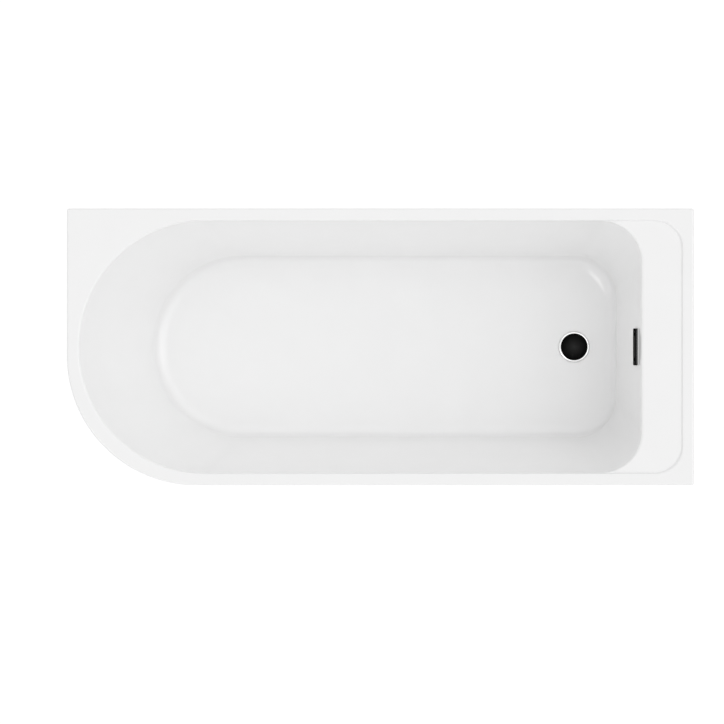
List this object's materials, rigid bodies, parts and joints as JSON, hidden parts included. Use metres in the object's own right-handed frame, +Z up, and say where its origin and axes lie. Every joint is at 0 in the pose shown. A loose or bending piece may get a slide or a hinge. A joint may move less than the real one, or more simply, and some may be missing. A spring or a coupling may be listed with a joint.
{
  "type": "shower bath",
  "caption": "White acrylic shower bath with a rounded corner, round head end, sunken tap shelf, click plug, overflow, levelling feet and a curved apron panel.",
  "frame": {"origin": "on the floor of the room, under the middle of the bath", "axes": "+X along the length from the head end to the tap end, +Y from the room side to the long wall, +Z up"},
  "size_m": [1.7, 0.75, 0.58],
  "materials": {
    "acrylic": "gloss",
    "panel": "gloss",
    "glass_fibre": "rough",
    "chipboard": "rough",
    "timber": "rough",
    "zinc_steel": "zinc plated",
    "fasteners": "bright",
    "foot_plastic": "satin",
    "black_metal": "satin black",
    "chrome": "polished",
    "white_seal": "matt",
    "black_rubber": "matt",
    "pipe_plastic": "satin",
    "hose_plastic": "satin",
    "brass": "machined"
  },
  "bodies": {
    "bath": {"tub_shell": "acrylic", "apron_panel": "panel", "glass_fibre_backing": "glass_fibre", "baseboard": "chipboard", "tap_shelf_board": "chipboard", "wall_side_batten": "timber", "room_side_batten": "timber", "leg_bar_head": "zinc_steel", "leg_bar_tap": "zinc_steel", "centre_foot_plate": "zinc_steel", "panel_brackets": "zinc_steel", "head_panel_stay": "zinc_steel", "wall_brackets": "zinc_steel", "leg_screws": "fasteners", "panel_bracket_bolts": "fasteners", "bracket_screws": "fasteners", "hose_clips": "fasteners", "click_spring": "fasteners", "overflow_plate": "black_metal", "overflow_screws": "black_metal", "waste_flange": "chrome", "overflow_front_seal": "white_seal", "waste_top_seal": "white_seal", "overflow_rear_seal": "black_rubber", "waste_lower_seal": "black_rubber", "overflow_elbow": "pipe_plastic", "waste_body": "pipe_plastic", "overflow_hose": "hose_plastic", "click_cartridge": "brass"},
    "plug": {"plug_stem": "fasteners", "plug_cap": "black_metal", "plug_seal": "black_rubber"},
    "foot_1": {"foot_rod_1": "zinc_steel", "foot_pad_1": "foot_plastic"},
    "nuts_1": {"adjusting_nut_1": "fasteners", "lock_nut_1": "fasteners"},
    "foot_2": {"foot_rod_2": "zinc_steel", "foot_pad_2": "foot_plastic"},
    "nuts_2": {"adjusting_nut_2": "fasteners", "lock_nut_2": "fasteners"},
    "foot_3": {"foot_rod_3": "zinc_steel", "foot_pad_3": "foot_plastic"},
    "nuts_3": {"adjusting_nut_3": "fasteners", "lock_nut_3": "fasteners"},
    "foot_4": {"foot_rod_4": "zinc_steel", "foot_pad_4": "foot_plastic"},
    "nuts_4": {"adjusting_nut_4": "fasteners", "lock_nut_4": "fasteners"},
    "foot_5": {"foot_rod_5": "zinc_steel", "foot_pad_5": "foot_plastic"},
    "nuts_5": {"adjusting_nut_5": "fasteners", "lock_nut_5": "fasteners"}
  },
  "joints": [
    {"name": "plug_slide", "type": "slide", "parent": "bath", "child": "plug", "axis": [0, 0, 1], "range_m": [0, 0.009], "deforming": ["click_spring"]},
    {"name": "foot_1_slide", "type": "slide", "parent": "bath", "child": "foot_1", "axis": [0, 0, -1], "range_m": [-0.008, 0.022]},
    {"name": "nuts_1_turn", "type": "hinge", "parent": "bath", "child": "nuts_1", "pos_m": [-0.43, -0.3, 0.1277], "axis": [0, 0, 1], "range_deg": [-1700, 4600]},
    {"name": "foot_2_slide", "type": "slide", "parent": "bath", "child": "foot_2", "axis": [0, 0, -1], "range_m": [-0.008, 0.022]},
    {"name": "nuts_2_turn", "type": "hinge", "parent": "bath", "child": "nuts_2", "pos_m": [-0.43, 0.3, 0.1277], "axis": [0, 0, 1], "range_deg": [-1700, 4600]},
    {"name": "foot_3_slide", "type": "slide", "parent": "bath", "child": "foot_3", "axis": [0, 0, -1], "range_m": [-0.008, 0.022]},
    {"name": "nuts_3_turn", "type": "hinge", "parent": "bath", "child": "nuts_3", "pos_m": [0.38, -0.3, 0.1277], "axis": [0, 0, 1], "range_deg": [-1700, 4600]},
    {"name": "foot_4_slide", "type": "slide", "parent": "bath", "child": "foot_4", "axis": [0, 0, -1], "range_m": [-0.008, 0.022]},
    {"name": "nuts_4_turn", "type": "hinge", "parent": "bath", "child": "nuts_4", "pos_m": [0.38, 0.3, 0.1277], "axis": [0, 0, 1], "range_deg": [-1700, 4600]},
    {"name": "foot_5_slide", "type": "slide", "parent": "bath", "child": "foot_5", "axis": [0, 0, -1], "range_m": [-0.008, 0.011]},
    {"name": "nuts_5_turn", "type": "hinge", "parent": "bath", "child": "nuts_5", "pos_m": [-0.025, 0, 0.1277], "axis": [0, 0, 1], "range_deg": [-1700, 2300]}
  ],
  "couplings": [
    {"joint": "nuts_1_turn", "follows": "foot_1_slide", "rad_per_m": 3590.4},
    {"joint": "nuts_2_turn", "follows": "foot_2_slide", "rad_per_m": 3590.4},
    {"joint": "nuts_3_turn", "follows": "foot_3_slide", "rad_per_m": 3590.4},
    {"joint": "nuts_4_turn", "follows": "foot_4_slide", "rad_per_m": 3590.4},
    {"joint": "nuts_5_turn", "follows": "foot_5_slide", "rad_per_m": 3590.4}
  ]
}
